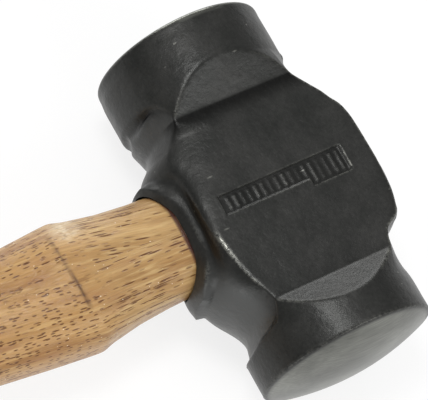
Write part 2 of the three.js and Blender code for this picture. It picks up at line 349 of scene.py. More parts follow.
INNER_BELLY += [(-16, 26.2), (0, 26), (12, 25.7), (15.4, 26.1), (17, 25.9), (19, 24.8), (21.4, 22.2)]
INNER_BELLY += [(24, 20.5), (26.4, 21.1), (29.2, 22), (34, 22)]
# Where the handle-side necks end against the bar, by degrees round the bar from its side
LOWER_NECK_END = [(0, 31.7), (8, 31.5), (19, 30.9), (34, 30), (43, 28), (47, 24.8), (60, 20)]
UPPER_NECK_END = [(0, 32.6), (11, 32.2), (25, 31.9), (34, 31.9), (42, 30.3), (47, 27.6), (60, 22)]


def flank_skin(turn, y):
    """The flanks: each side runs from its belly up and down to the edges of the cheeks, and ends in
    the round bar. A shallow valley parts the upper cheek from the collar."""
    inner = np.cos(turn) < 0
    off_side = np.arccos(np.clip(np.abs(np.cos(turn)), 0, 1))
    belly = np.where(inner, through(INNER_BELLY, y), through(OUTER_BELLY, y))
    reach = np.where(inner, through(INNER_REACH, y), through(OUTER_REACH, y))
    corner = np.hypot(reach, CHEEK_HALF)
    edge_turn = np.arctan2(CHEEK_HALF, reach)
    share = (1 / np.cos(np.minimum(off_side, edge_turn)) - 1) / (1 / np.cos(edge_turn) - 1)
    skin = belly + (corner - belly) * share
    degrees = np.degrees(off_side)
    valley_width = 5.4 + 1.2 * eased(-2, 6, y)
    valley = np.exp(-(((degrees - VALLEY_DEGREES) / valley_width) ** 2)) * eased(16, 6, np.abs(y - 1))
    skin = skin - VALLEY_DEPTH * valley * inner * (np.sin(turn) > 0)
    lower = eased(-0.5, 0.7, -y - through(LOWER_NECK_END, degrees))
    upper = eased(-0.5, 0.6, y - through(UPPER_NECK_END, degrees))
    ended = np.where(inner, np.maximum(lower, upper), eased(32.5, 34, np.abs(y)))
    groove = 0.85 * neck_groove(inner, degrees, y) * eased(-12, 14, degrees)
    return skin + (BAR_RADIUS - skin) * ended - groove


def neck_groove(inner, degrees, y):
    """The sharp groove where the upper neck runs out under the round bar, on the handle's side."""
    wide = 0.75 + 0.6 * eased(28, 8, degrees)
    off = y - through(UPPER_NECK_END, degrees) + wide + 0.15
    return np.exp(-((off / wide) ** 2)) * inner * eased(45, 28, degrees)


def collar_skin(turn, y):
    """The collar that holds the wood, an oval boss with a crowned end. Its lower half is squarer and
    flatter than its upper half, and its ends run down steeply into the flank."""
    away = np.cos(turn) < 0
    upper = eased(-0.25, 0.25, np.sin(turn))
    square = (1 - upper) * eased(2, -6, y)
    power = 2.5 + 0.7 * square
    half_width = COLLAR_HALF_WIDTH + 0.35 * square
    off = np.abs(y - COLLAR_CENTRE)
    share = np.clip(1 - (off / half_width) ** power, 0, 1)
    half = COLLAR_HALF_HEIGHT * share ** (1 / power)
    wall = half / np.maximum(np.abs(np.sin(turn)), 1e-3)
    wall = np.minimum(wall, COLLAR_END_ROOT + COLLAR_END_SLOPE * np.maximum(half_width - off, 0))
    bend = COLLAR_CROWN + 3.2 * (1 - upper)
    set_in = collar_reach(y, upper) - 1.3 * eased(-9, -15, y) * (1 - upper) - bend
    crown = -set_in * np.cos(turn) + np.sqrt(np.maximum(bend**2 - (set_in * np.sin(turn)) ** 2, 1))
    return np.where(away, smooth_min(wall, crown, 0.9), 0)


def collar_reach(y, upper):
    """How far the collar's crown stands out, which is less towards the domed end on its upper half."""
    return COLLAR_REACH - 2.0 * eased(-2, -12, y) * upper


def panel_depth(x, y):
    """The sunk panel of the upper cheek, narrow near the handle and wide near the outer face, with
    a row of plain upright ribs on its floor."""
    lower = np.where(x > PANEL_STEP, PANEL_WIDE_LOW, PANEL_NARROW_LOW)
    whole = np.minimum(np.minimum(x - PANEL_START, PANEL_END - x), np.minimum(PANEL_TOP - y, y - lower))
    past_step = np.minimum(x - PANEL_STEP, PANEL_END - x)
    wide = np.minimum(past_step, np.minimum(PANEL_TOP - y, y - PANEL_WIDE_LOW))
    inside = np.maximum(whole, wide)
    sunk = eased(-PANEL_WALL / 2, PANEL_WALL / 2, inside)
    beat = np.abs((x / RIB_PITCH) % 1 - 0.5) * 2
    rib = eased(0.35, 0.95, beat) * eased(0.2, 0.9, inside - 0.2)
    rib = rib * (0.75 + 0.25 * np.sin(x * 0.9))
    lip = eased(0.9, 0.2, np.abs(inside + 0.35)) * 0.06
    return PANEL_DEPTH * sunk - RIB_HEIGHT * rib * sunk - lip


# Small marks that the dies left: (angle round the head in degrees, place along it, size, height)
MARKS = [
    (180 + 24, -31.0, 1.0, 0.35),
    (20, 32.6, 0.9, 0.45),
    (24, 20.6, 0.8, 0.3),
    (30, -19.0, 0.9, 0.5),
    (26, -21.2, 1.0, -0.4),
]


def head_rows():
    """The rows of the head's skin as (place along y, limit of the radius), closest together at the
    panel and where the collar and the necks end."""
    rows = []
    for share in np.linspace(0, 1, 14):
        radius = (BAR_RADIUS - DOME_EDGE) * math.sin(share * math.pi / 2) ** 0.9
        rows.append((-DOMED_END_REACH + DOME_RADIUS - math.sqrt(DOME_RADIUS**2 - radius**2), radius))
    rim = rows[-1][0]
    rows += [(rim + 0.1, BAR_RADIUS - 0.27), (rim + 0.27, BAR_RADIUS - 0.1)]
    body = spaced(
        (rim + 0.5, -34, 0.75),
        (-34, -20, 0.42),
        (-20, -12, 0.3),
        (-12, -4.8, 0.55),
        (-4.8, 4.2, 0.3),
        (4.2, 13, 0.55),
        (13, 20, 0.3),
        (20, 35.5, 0.45),
        (35.5, FLAT_END_REACH - FLAT_EDGE, 0.8),
    )
    rows += [(y, math.inf) for y in body]
    for step in range(1, 6):
        angle = step / 5 * math.pi / 2
        radius = BAR_RADIUS - FLAT_EDGE * (1 - math.cos(angle))
        rows.append((FLAT_END_REACH - FLAT_EDGE * (1 - math.sin(angle)), radius))
    rows += [(FLAT_END_REACH, (BAR_RADIUS - FLAT_EDGE) * share) for share in np.linspace(0.95, 0, 12)]
    return np.array(rows)


def head_turns():
    """The directions round the head, closest together over the upper cheek."""
    edge = 26.0
    upper = np.arctan2(CHEEK_HALF, np.linspace(edge, -edge, 151))
    lower = np.arctan2(-CHEEK_HALF, np.linspace(-edge, edge, 71)) + 2 * math.pi
    inner = np.linspace(upper[-1], lower[0], 88)[1:-1]
    outer = np.linspace(lower[-1], upper[0] + 2 * math.pi, 56)[1:]
    return np.concatenate([upper, inner, lower, outer])


def uneven(points, size, seed):
    """Slow unevenness from the hammer and dies, between about -1 and 1."""
    shift = Vector((seed * 17.3, seed * 5.1, seed * 9.7))
    return np.array([noise.noise(Vector(p) / size + shift) for p in points])


def head_skin(row, column):
    """The head's skin: the flanks, cut by the cheeks and joined by the collar, within the round bar."""
    y, limit = head_rows()[row].T
    turn = head_turns()[column]
    body = flank_skin(turn, y)
    inner = np.cos(turn) < 0

    # The cheeks are flat, and ramp up to the round bar past their ends.
    upper_ramp = UPPER_RAMP * (1 - 0.3 * np.maximum(np.cos(turn), 0))
    past = smooth_max(np.abs(y) - CHEEK_REACH, np.zeros_like(y), 0.5)
    level = CHEEK_HALF + past * np.where(y > 0, upper_ramp, LOWER_RAMP)
    cheek = level / np.maximum(np.abs(np.sin(turn)), 0.02)

    # Their edges are rounder in some places than in others, and so is the root of the collar.
    inner_worn = 0.6 + 2.2 * eased(-8, 2, y) + 3.2 * eased(2, 11, y)
    outer_worn = 0.6 + 1.8 * eased(3, -12, y) * eased(-19.4, -18, y)
    worn = np.where(inner, inner_worn, outer_worn) - 0.5
    cut = smooth_min(body, cheek, 0.5 + worn * eased(CHEEK_REACH - 0.5, CHEEK_REACH - 5, np.abs(y)))
    merge = 1.4 + 5.3 * np.maximum(eased(4, 12, y), eased(-7, -14, y))
    merge = merge + 3 * eased(-4, -12, y) * eased(0.02, 0.5, np.sin(turn))
    skin = smooth_max(cut, collar_skin(turn, y), merge)
    for degrees, at, size, height in MARKS:
        away = (np.degrees(turn) - degrees + 180) % 360 - 180
        skin = skin + height * np.exp(-((away * 0.39 / size) ** 2) - ((y - at) / size) ** 2)
    swell = 0.016 * np.maximum(-np.cos(turn), 0) ** 2 * eased(27, 34, np.abs(y)) * eased(46.4, 42, y)
    radius = np.minimum(skin, limit) * (1 + swell)
    points = np.stack([radius * np.cos(turn), y, radius * np.sin(turn)], 1)

    # The hammer and the dies left the forged skin a little uneven, and the ground faces are true.
    rough = uneven(points, 7.0, 1) * 0.07 + uneven(points, 1.8, 2) * 0.02 - 0.05
    ground = (y > FLAT_END_REACH - 2) | (y < -DOME_RIM + 0.5)
    scale = 1 + np.where(ground, 0, rough) / np.maximum(radius, 1)
    points[:, 0] *= scale
    points[:, 2] *= scale
    flat = (np.sin(turn) > 0) & (np.abs(y) < 6) & (cheek < body + 0.3)
    points[:, 2] -= np.where(flat, panel_depth(points[:, 0], y), 0)

    # Both ends lean a little, having been ground by hand.
    aslant = points[:, 0] / BAR_RADIUS
    points[:, 1] += FLAT_LEAN * (aslant - 1) * eased(42, 46, y) - DOME_LEAN * aslant * eased(-36, -41, y)
    return points


def lofted(sections, sides, power):
    """A closed solid through oval sections (x, half width, half height, shift along y)."""
    sections = np.array(sections, float)
    around = np.linspace(0, 2 * math.pi, sides + 1)

    def skin(row, column):
        x, wide, high, shift = sections[row].T
        c, s = np.cos(around[column]), np.sin(around[column])
        y = shift + wide * np.sign(c) * np.abs(c) ** (2 / power)
        return np.stack([x, y, high * np.sign(s) * np.abs(s) ** (2 / power)], 1)

    return rolled(len(sections), sides + 1, skin)


EYE_SHIFT = 1.5
EYE_POWER = 2.7
EYE_MOUTH = -28.6
OUTER_FACE_REACH = 26.5
# The eye is an hourglass: (place along it, half width, half height)
EYE_STATIONS = [(EYE_MOUTH, 13.7, 10.2), (-8, 12.7, 9.3), (OUTER_FACE_REACH, 14, 10.5)]


def eye_half(x, gap=0.0):
    """Half the eye's width and height at x, less a gap."""
    at, wide, high = zip(*EYE_STATIONS)
    return np.interp(x, at, wide) - gap, np.interp(x, at, high) - gap


def eye_shape():
    """What the eye takes out of the head. It runs out past both of the head's faces."""
    start, end = -32, 30
    inside = (EYE_MOUTH, -8, 2), (-8, OUTER_FACE_REACH, 2)
    along = spaced((start, EYE_MOUTH, 4), *inside, (OUTER_FACE_REACH, end, 4))
    walls = [(x, *eye_half(x), EYE_SHIFT) for x in along]
    return lofted([(start, 0, 0, EYE_SHIFT), *walls, (end, 0, 0, EYE_SHIFT)], 96, EYE_POWER)


def in_place(shape):
    """Moves a bmesh from the hammer's own frame to its place, and shades its faces smooth."""
    bmesh.ops.transform(shape, matrix=placing, verts=shape.verts)
    for face in shape.faces:
        face.smooth = True
    return shape


def cut_out(piece, shape):
    """Takes a bmesh, made in the hammer's own frame, out of a finished piece."""
    bmesh.ops.transform(shape, matrix=placing, verts=shape.verts)
    tool_mesh = bpy.data.meshes.new("tool")
    shape.to_mesh(tool_mesh)
    shape.free()
    tool = bpy.data.objects.new("tool", tool_mesh)
    bpy.context.scene.collection.objects.link(tool)
    cut = piece.modifiers.new("cut", "BOOLEAN")
    cut.operation = "DIFFERENCE"
    cut.solver = "MANIFOLD"
    cut.object = tool
    bpy.context.view_layer.update()
    result = bpy.data.meshes.new_from_object(piece.evaluated_get(bpy.context.evaluated_depsgraph_get()))
    piece.modifiers.clear()
    uncut = piece.data
    piece.data = result
    bpy.data.meshes.remove(uncut)
    bpy.data.meshes.remove(tool_mesh)


def forged_steel():
    """Drop-forged carbon steel under a thin black oxide scale: nearly black, with a dull sheen, bare
    and brighter where edges rub, and ground bright on both striking faces. Shade is painted into its
    hollows, and light onto its necks and along some edges."""
    material = bpy.data.materials.new("forged steel, black oxide scale, ground faces")
    add = Recipe(material).add
    place = add("ShaderNodeTexCoord").outputs["Object"]
    # Wear along rubbed edges, with a painted highlight on the collar's crest and the cheek's edge beside it.
    worn = add("ShaderNodeAttribute", {"attribute_name": "wear and painted highlight"}).outputs["Fac"]
    ground = add("ShaderNodeAttribute", {"attribute_name": "ground"}).outputs["Fac"]
    # Painted shade: blacker in hollows, under the upper ramp, in the neck's groove and in the panel.
    painted_shade = add("ShaderNodeAttribute", {"attribute_name": "painted_shade"}).outputs["Fac"]
    # Painted light: a paler grey on the necks.
    painted_neck_light = add("ShaderNodeAttribute", {"attribute_name": "painted light on necks"}).outputs["Fac"]

    # The scale is mottled. Light is painted onto the necks as a greyer tone, and shade is painted into
    # hollows and under the upper ramp as a blacker tone.
    patches = add("ShaderNodeTexNoise", Vector=place, Scale=per(9), Detail=5.0, Roughness=0.6).outputs["Fac"]
    grit = add("ShaderNodeTexNoise", Vector=place, Scale=per(0.9), Detail=3.0, Roughness=0.7).outputs["Fac"]
    tone = coloured(add("ShaderNodeValToRGB", Fac=patches), (0.35, "#242523"), (0.68, "#30302e"))
    speckle = add(
        "ShaderNodeMapRange", Value=grit, From_Min=0.3, From_Max=0.75, To_Min=0.78, To_Max=1.28
    ).outputs["Result"]
    scale = add("ShaderNodeMix", COLOURS_TIMES, _0=1.0, _6=tone, _7=speckle).outputs[2]
    scale = add("ShaderNodeMix", COLOURS, _0=painted_neck_light, _6=scale, _7=linear("#4b4c4b")).outputs[2]
    scale = add("ShaderNodeMix", COLOURS, _0=painted_shade, _6=scale, _7=linear("#151514")).outputs[2]

    # Bare metal shows in flecks along the rubbed edges, and in a few slanted nicks. Along the cheek
    # beside the collar the flecks are partly a painted highlight, and on the collar's crest they are one.
    rub = add("ShaderNodeMath", {"operation": "ADD"}, _0=grit, _1=-0.46).outputs[0]
    rub = add("ShaderNodeMath", TIMES, _0=rub, _1=5.0).outputs[0]
    rub = add("ShaderNodeMath", {"operation": "ADD", "use_clamp": True}, _0=rub, _1=0.35).outputs[0]
    rub = add("ShaderNodeMath", TIMES | {"use_clamp": True}, _0=rub, _1=worn).outputs[0]
    slanted = add("ShaderNodeMapping", Vector=place, Rotation=(0, 0, 0.5), Scale=(1, 3.2, 3.2)).outputs[0]
    nicks = add("ShaderNodeTexVoronoi", Vector=slanted, Scale=per(13), Randomness=1.0).outputs["Distance"]
    nick = add(
        "ShaderNodeMapRange", Value=nicks, From_Min=0.03, From_Max=0.07, To_Min=0.4, To_Max=0.0
    ).outputs["Result"]
    bare = add("ShaderNodeMath", LARGER, _0=rub, _1=nick).outputs[0]
    clean = add("ShaderNodeMath", LARGER, _0=bare, _1=ground).outputs[0]

    # The ground faces carry parallel grinding lines, drawn a little coarser than real ones so that they
    # show, and broad patches that are duller or brighter.
    lines = add("ShaderNodeMapping", Vector=place, Rotation=(0, 0.3, 0), Scale=(0.035, 1, 1)).outputs[0]
    grinding = add(
        "ShaderNodeTexNoise", Vector=lines, Scale=per(0.35), Detail=3.0, Roughness=0.6
    ).outputs["Fac"]
    wiped = add("ShaderNodeTexNoise", Vector=place, Scale=per(16), Detail=2.0, Roughness=0.5).outputs["Fac"]
    wiped = add(
        "ShaderNodeMapRange", Value=wiped, From_Min=0.35, From_Max=0.65, To_Min=0.8, To_Max=1.35
    ).outputs["Result"]
    bright = coloured(add("ShaderNodeValToRGB", Fac=grinding), (0.3, "#5f605b"), (0.7, "#797a74"))
    bright = add("ShaderNodeMix", COLOURS_TIMES, _0=1.0, _6=bright, _7=wiped).outputs[2]

    colour = add("ShaderNodeMix", COLOURS, _0=bare, _6=scale, _7=linear("#8d8d86")).outputs[2]
    colour = add("ShaderNodeMix", COLOURS, _0=ground, _6=colour, _7=bright).outputs[2]
    metallic = add("ShaderNodeMapRange", Value=clean, To_Min=0.45, To_Max=1.0).outputs["Result"]
    metallic = add("ShaderNodeMix", _0=painted_shade, _2=metallic, _3=0.8).outputs[0]
    rough = add(
        "ShaderNodeMapRange", Value=patches, From_Min=0.3, From_Max=0.7, To_Min=0.33, To_Max=0.46
    ).outputs["Result"]
    rough = add("ShaderNodeMix", _0=clean, _2=rough, _3=0.33).outputs[0]

    dents = add("ShaderNodeTexNoise", Vector=place, Scale=per(2.4), Detail=4.0, Roughness=0.65).outputs["Fac"]
    pitted = add("ShaderNodeBump", Strength=0.6, Distance=0.00025, Height=dents).outputs[0]
    pitted = add("ShaderNodeBump", Strength=0.35, Distance=0.00008, Height=grit, Normal=pitted).outputs[0]
    brushed = add("ShaderNodeBump", Strength=0.25, Distance=0.00003, Height=grinding).outputs[0]
    normal = add("ShaderNodeMix", {"data_type": "VECTOR"}, _0=ground, _4=pitted, _5=brushed).outputs[1]
    surface = add(
        "ShaderNodeBsdfPrincipled", Base_Color=colour, Metallic=metallic, Roughness=rough, Normal=normal
    )
    add("ShaderNodeOutputMaterial", Surface=surface.outputs[0])
    return material


def mark(piece, name, values):
    """Stores a number for each vertex of a finished piece, for its material to read."""
    piece.data.attributes.new(name, "FLOAT", "POINT").data.foreach_set("value", values.astype(np.float32))


def measured(piece):
    """The vertices of a piece in the hammer's own frame, and how sharply it bends out at each, per mm."""
    mesh = piece.data
    count = len(mesh.vertices)
    spots, normals = np.zeros(count * 3), np.zeros(count * 3)
    mesh.vertices.foreach_get("co", spots)
    mesh.vertices.foreach_get("normal", normals)
    spots, normals = spots.reshape(-1, 3) / MM, normals.reshape(-1, 3)
    pairs = np.zeros(len(mesh.edges) * 2, int)
    mesh.edges.foreach_get("vertices", pairs)
    pairs = np.concatenate([pairs.reshape(-1, 2), pairs.reshape(-1, 2)[:, ::-1]])
    gap = spots[pairs[:, 0]] - spots[pairs[:, 1]]
    bend = (gap * normals[pairs[:, 0]]).sum(1) / np.maximum((gap**2).sum(1), 0.02)
    joins = np.bincount(pairs[:, 0], minlength=count)
    out = np.bincount(pairs[:, 0], bend, count) / np.maximum(joins, 1)
    for _ in range(2):
        out = (out + np.bincount(pairs[:, 0], out[pairs[:, 1]], count) / np.maximum(joins, 1)) / 2
    own = np.array(placing.inverted())
    spots = spots * MM @ own[:3, :3].T + own[:3, 3]
    return spots, out


def mark_head(piece):
    """Marks rubbed edges with their painted highlight, the ground faces, and painted shade and light."""
    spots, bends = measured(piece)
    x, y, z = spots.T
    radius, turn = np.hypot(x, z), np.arctan2(z, x)
    off_side = np.degrees(np.arccos(np.clip(np.abs(np.cos(turn)), 0, 1)))
    below_cheek = CHEEK_HALF - np.abs(z)
    in_panel = (np.abs(y) < 3.7) & (x > -15.3) & (x < 18.3) & (z > 0)

    # Edges are rubbed: most along the cheek beside the collar, a little on the collar's own crest, and
    # hardly at all at the dome's rim, in the panel and where the handle-side necks meet the bar. Beside
    # the collar this is partly a painted highlight, and on the collar's crest it is a painted highlight.
    worn = eased(0.09, 0.45, bends)
    beside_collar = (below_cheek < 3) & (np.abs(y) < CHEEK_REACH) & (x < -14) & (z > 0) & (y < 3)
    far = eased(-8, -16, y)
    ridge = eased(0.03 + 0.05 * far, 0.2, bends) * (1.5 - 0.6 * far)
    worn = np.where(beside_collar, 0.3 * worn + ridge * eased(-3, -9, y) * eased(-23, -15, y), worn)
    worn = np.where(y < 1.3 - DOME_RIM, 0.2 * worn, worn)
    # A painted highlight along the collar's crest.
    crest = (x < -21) & (np.abs(y) < 18) & (radius > 24)
    eye_wide, eye_high = eye_half(EYE_MOUTH)
    from_eye = np.abs((y - EYE_SHIFT) / eye_wide) ** EYE_POWER + np.abs(z / eye_high) ** EYE_POWER
    crest_highlight = 0.4 * eased(0.03, 0.12, bends) * eased(8, 11, z) * eased(6, -8, y) * (from_eye > 1.25)
    worn = np.where(crest, crest_highlight, worn)
    worn = np.where(in_panel, 0.35 * worn, worn)
    by_bar = (x < -8) & (z < CHEEK_HALF + 0.1) & (np.abs(np.abs(y) - 29) < 7)
    mark(piece, "wear and painted highlight", np.where(by_bar, 0, worn))

    # Painted shade: darker under the upper ramp, in the groove of the upper neck, in hollows and in the
    # panel.
    under_ramp = eased(18.5, 24.7, y) * (y < CHEEK_REACH + 0.1) * eased(6, 1, below_cheek)
    groove = np.exp(-(((y - through(UPPER_NECK_END, off_side) + 1.3) / 1.3) ** 2)) * eased(44, 30, off_side)
    groove = groove * (x < 0) * eased(BAR_RADIUS + 0.25, BAR_RADIUS - 0.15, radius) * eased(0, 12, z)
    hollow = 0.55 * eased(0.05, 0.25, -bends) * np.maximum(eased(0, 6, z), eased(-17, -13, x))
    hollow = hollow * np.maximum(eased(11, 6, y), eased(-13, -8, x))
    valley = np.exp(-(((off_side - 32) / 5) ** 2)) * eased(15, 6, np.abs(y + 1)) * (x < 0) * eased(0, 6, z)
    hollow = np.maximum(hollow, 0.5 * valley)
    hollow = np.where(in_panel, 0.42 * eased(0.2, 0.4, CHEEK_HALF - z), hollow)
    mark(piece, "painted_shade", np.maximum(np.maximum(0.95 * under_ramp**1.3, 0.9 * groove), hollow))

    # Painted light: paler on the lower neck beside the handle and on part of the upper one.
    lower_neck = eased(0.2, 0.8, y + through(LOWER_NECK_END, off_side)) * eased(-6, -20, y)
    lower_neck = lower_neck * eased(48, 28, off_side) * (x < 0) * eased(0.3, 4, below_cheek)
    upper_neck = eased(0.9, 2.4, through(UPPER_NECK_END, off_side) - y) * eased(18, 27, y)
    mark(piece, "painted light on necks", np.maximum(lower_neck, 0.5 * upper_neck * eased(-12, -19, x)))

    # The dome is ground up to its rim, and the flat face on to its rounded edge, most at the top.
    domed = eased(-DOME_RIM - 0.05, -DOME_RIM - 0.35, y + DOME_LEAN * x / BAR_RADIUS)
    sliver = FLAT_END_REACH - 0.6 - 0.9 * np.exp(-(((np.degrees(turn) - 84) / 26) ** 2))
    straight = y - FLAT_LEAN * (x / BAR_RADIUS - 1)
    mark(piece, "ground", np.maximum(domed, eased(sliver, sliver + 0.3, straight)))


head_shape = in_place(rolled(len(head_rows()), len(head_turns()), head_skin))
head = finished("forged_head", head_shape, forged_steel(), "forged_steel", "head")
cut_out(head, eye_shape())
head.data.set_sharp_from_angle(angle=math.radians(50))
mark_head(head)


# ---------------------------------------------------------------------------------------------
# The handle

TONGUE_END = OUTER_FACE_REACH + 0.8
HANDLE_LENGTH = 353
BUTT = TONGUE_END - HANDLE_LENGTH
SHOULDER = -52.1
CREASE = -54.8
GRAIN_LEAN = math.tan(math.radians(-5.5))
# Half widths, half heights and the shift of the middle line, each as (place along the handle, size)
HALF_WIDTH = [(BUTT, 14.9), (-290, 15.2), (-235, 15.5), (-170, 13.1), (-112, 11.4), (-93, 12.5)]
HALF_WIDTH += [(-79, 13.9), (-65, 15.4), (-53.8, 16.35), (SHOULDER, 16.45), (-49.3, 15.5), (-41, 14.0)]
HALF_WIDTH += [(-33, 13.3), (EYE_MOUTH, 13.15), (-22, 12.9)]
HALF_HEIGHT = [(BUTT, 11.6), (-235, 12), (-170, 10.5), (-112, 9.5), (-92, 10.1), (-64, 11.55)]
HALF_HEIGHT += [(CREASE, 12.2), (-48, 11.7), (-40, 10.95), (EYE_MOUTH, 9.85), (-22, 9.55)]
SHIFT = [(BUTT, 1.5), (-170, 1.75), (-79, 1.9), (-50, 1.6), (EYE_MOUTH, 1.5)]


def handle_sections():
    """Sections from the butt to the end of the tongue. The butt's edge is cut off at an angle."""
    grip = spaced((BUTT + 3, BUTT + 6, 0.6), (BUTT + 6, -86, 2.0), (-86, -22, 0.55))
    wide = np.interp(grip, *np.array(HALF_WIDTH).T)
    high = np.interp(grip, *np.array(HALF_HEIGHT).T)
    for _ in range(2):
        wide[1:-1] = (wide[:-2] + wide[1:-1] * 2 + wide[2:]) / 4
        high[1:-1] = (high[:-2] + high[1:-1] * 2 + high[2:]) / 4
    shift = np.interp(grip, *np.array(SHIFT).T)
    butt = [(BUTT, 0, 0), (BUTT, 6, 4), (BUTT, 11.9, 8.6), (BUTT + 0.25, 12.3, 8.9), (BUTT + 2.7, 14.6, 11.3)]
    tongue = [(x, *eye_half(min(x, OUTER_FACE_REACH), 0.12)) for x in spaced((-12, TONGUE_END - 0.5, 1.5))]
    tongue += [(TONGUE_END, *eye_half(OUTER_FACE_REACH, 0.5)), (TONGUE_END, 7, 5), (TONGUE_END, 0, 0)]
    sections = [(*section, EYE_SHIFT) for section in butt]
    sections += zip(grip, wide, high, shift)
    return sections + [(*section, EYE_SHIFT) for section in tongue]


def varnished_wood():
    """A ring-porous hardwood such as oak or ash, shaved to shape and varnished: open pores show as
    short dark dashes along the grain, under a thin clear coat."""
    material = bpy.data.materials.new("open-grained hardwood, clear varnish")
    add = Recipe(material).add
    place = add("ShaderNodeTexCoord").outputs["Object"]
    board = add("ShaderNodeAttribute", {"attribute_name": "grain"}).outputs["Vector"]
    head_end = add("ShaderNodeAttribute", {"attribute_name": "head end"}).outputs["Fac"]
    seam = add("ShaderNodeAttribute", {"attribute_name": "seam"}).outputs["Fac"]
    low_side = add("ShaderNodeAttribute", {"attribute_name": "low side"}).outputs["Fac"]
    crease = add("ShaderNodeAttribute", {"attribute_name": "crease"}).outputs["Fac"]
    # A painted highlight on the shoulder's upper corner.
    shoulder_highlight = add("ShaderNodeAttribute", {"attribute_name": "painted shoulder highlight"}).outputs["Fac"]

    def figure(along, across, detail, roughness, shift=0.0):
        """The wood's unevenness, in streaks so many millimetres along the grain and across it."""
        drawn = add(
            "ShaderNodeMapping", Vector=board, Scale=(1 / along, 1 / across, 1), Location=(shift, shift, 0)
        ).outputs[0]
        return add(
            "ShaderNodeTexNoise", Vector=drawn, Scale=1.0, Detail=detail, Roughness=roughness
        ).outputs["Fac"]

    def streaks(low, high, weak, strong, *kind):
        """Streaks of a kind of figure, weak where it is below low, and strong where it is above high."""
        return add(
            "ShaderNodeMapRange", Value=figure(*kind), From_Min=low, From_Max=high, To_Min=weak, To_Max=strong
        ).outputs["Result"]

    def dashes(along, across, size, share, shift, limit):
        """Pores: a ragged dash in some of the cells of a pattern stretched along the grain, with the
        limit as their strength from place to place."""
        drawn = add(
            "ShaderNodeMapping", Vector=board, Scale=(1 / along, 1 / across, 1), Location=(shift, shift, 0)
        ).outputs[0]
        cells = add(
            "ShaderNodeTexVoronoi", {"voronoi_dimensions": "2D"}, Vector=drawn, Scale=1.0, Randomness=0.9
        ).outputs
        ragged = add("ShaderNodeMath", TIMES_PLUS, _0=fibre, _1=-0.16, _2=cells["Distance"]).outputs[0]
        dash = add(
            "ShaderNodeMapRange", Value=ragged, From_Min=size * 0.62 - 0.08, From_Max=size * 1.05 - 0.08,
            To_Min=1.0, To_Max=0.0,
        ).outputs["Result"]
        pick = add("ShaderNodeSeparateColor", Color=cells["Color"]).outputs[0]
        picked = add("ShaderNodeMath", {"operation": "LESS_THAN"}, _0=pick, _1=share).outputs[0]
        picked = add("ShaderNodeMath", TIMES, _0=dash, _1=picked).outputs[0]
        return add("ShaderNodeMath", TIMES, _0=picked, _1=limit).outputs[0]

    # The wood itself: broad bands of tone, fine fibre, and paler and redder streaks. By the head it is
    # a little yellower.
    fibre = figure(12, 0.45, 4.0, 0.7, 3.0)
    lightness = add("ShaderNodeMapRange", Value=fibre, From_Min=0.25, From_Max=0.75, To_Min=0.76, To_Max=1.2)
    tone = add("ShaderNodeValToRGB", Fac=figure(55, 6, 4.0, 0.55))
    colour = coloured(tone, (0.3, "#9b7242"), (0.5, "#b6915d"), (0.7, "#cdaa76"))
    colour = add("ShaderNodeMix", COLOURS_TIMES, _0=1.0, _6=colour, _7=lightness.outputs["Result"]).outputs[2]
    pale = streaks(0.52, 0.68, 0.0, 0.6, 10, 1.3, 2.0, 0.5, 31.0)
    colour = add("ShaderNodeMix", COLOURS, _0=pale, _6=colour, _7=linear("#d3b47e")).outputs[2]
    blush = streaks(0.54, 0.72, 0.0, 0.4, 14, 5, 2.0, 0.5, 7.0)
    colour = add("ShaderNodeMix", COLOURS, _0=blush, _6=colour, _7=linear("#9d6f4f")).outputs[2]
    tint = add("ShaderNodeMix", COLOURS, _0=head_end, _6=linear("#f3e7d6"), _7=linear("#ffffff")).outputs[2]
    colour = add("ShaderNodeMix", COLOURS_TIMES, _0=1.0, _6=colour, _7=tint).outputs[2]

    # Pores: short ones in bands, more short ones on the grip and the low side, and long ones by the
    # head, in clumps and in a few broken lines.
    bands = streaks(0.42, 0.58, 0.08, 1.0, 40, 3.5, 2.0, 0.5, 11.0)
    clumps = streaks(0.46, 0.54, 0.0, 1.0, 16, 4.5, 1.0, 0.5, 17.0)
    broken = streaks(0.4, 0.5, 0.0, 1.0, 2.6, 0.9, 2.0, 0.6, 29.0)
    grip_bands = add("ShaderNodeMath", {"operation": "SUBTRACT"}, _0=1.0, _1=head_end).outputs[0]
    grip_bands = add("ShaderNodeMath", TIMES, _0=grip_bands, _1=bands).outputs[0]
    grip_bands = add("ShaderNodeMath", LARGER, _0=grip_bands, _1=low_side).outputs[0]
    head_clumps = add("ShaderNodeMath", TIMES, _0=clumps, _1=head_end).outputs[0]
    pores = dashes(4.0, 0.9, 0.26, 0.42, 0.0, bands)
    for kind in (
        dashes(9.5, 1.05, 0.24, 0.6, 5.0, head_clumps),
        dashes(42, 0.95, 0.3, 0.1, 19.0, broken),
        dashes(2.5, 1.0, 0.24, 0.55, 9.0, grip_bands),
    ):
        pores = add("ShaderNodeMath", LARGER, _0=pores, _1=kind).outputs[0]
    dark = add("ShaderNodeMath", TIMES, _0=pores, _1=0.93).outputs[0]
    colour = add("ShaderNodeMix", COLOURS, _0=dark, _6=colour, _7=linear("#5a2e00")).outputs[2]

    # Painted glints as pale specks, a painted highlight on the shoulder's corner, the crease, and painted
    # shade in the head's mouth.
    painted_glints = dashes(2.6, 2, 0.07, 0.5, 13.0, streaks(0.55, 0.62, 0.0, 1.0, 11, 5, 1.0, 0.5, 23.0))
    painted_glints = add("ShaderNodeMath", TIMES, _0=painted_glints, _1=0.9).outputs[0]
    colour = add("ShaderNodeMix", COLOURS, _0=painted_glints, _6=colour, _7=linear("#efe0c4")).outputs[2]
    patchy = streaks(0.4, 0.6, 0.35, 1.0, 2.4, 1.1, 3.0, 0.7, 41.0)
    shoulder_highlight = add("ShaderNodeMath", TIMES, _0=shoulder_highlight, _1=patchy).outputs[0]
    for share, code in ((shoulder_highlight, "#f1e2c2"), (crease, "#3c1608"), (seam, "#43201a")):
        colour = add("ShaderNodeMix", COLOURS, _0=share, _6=colour, _7=linear(code)).outputs[2]

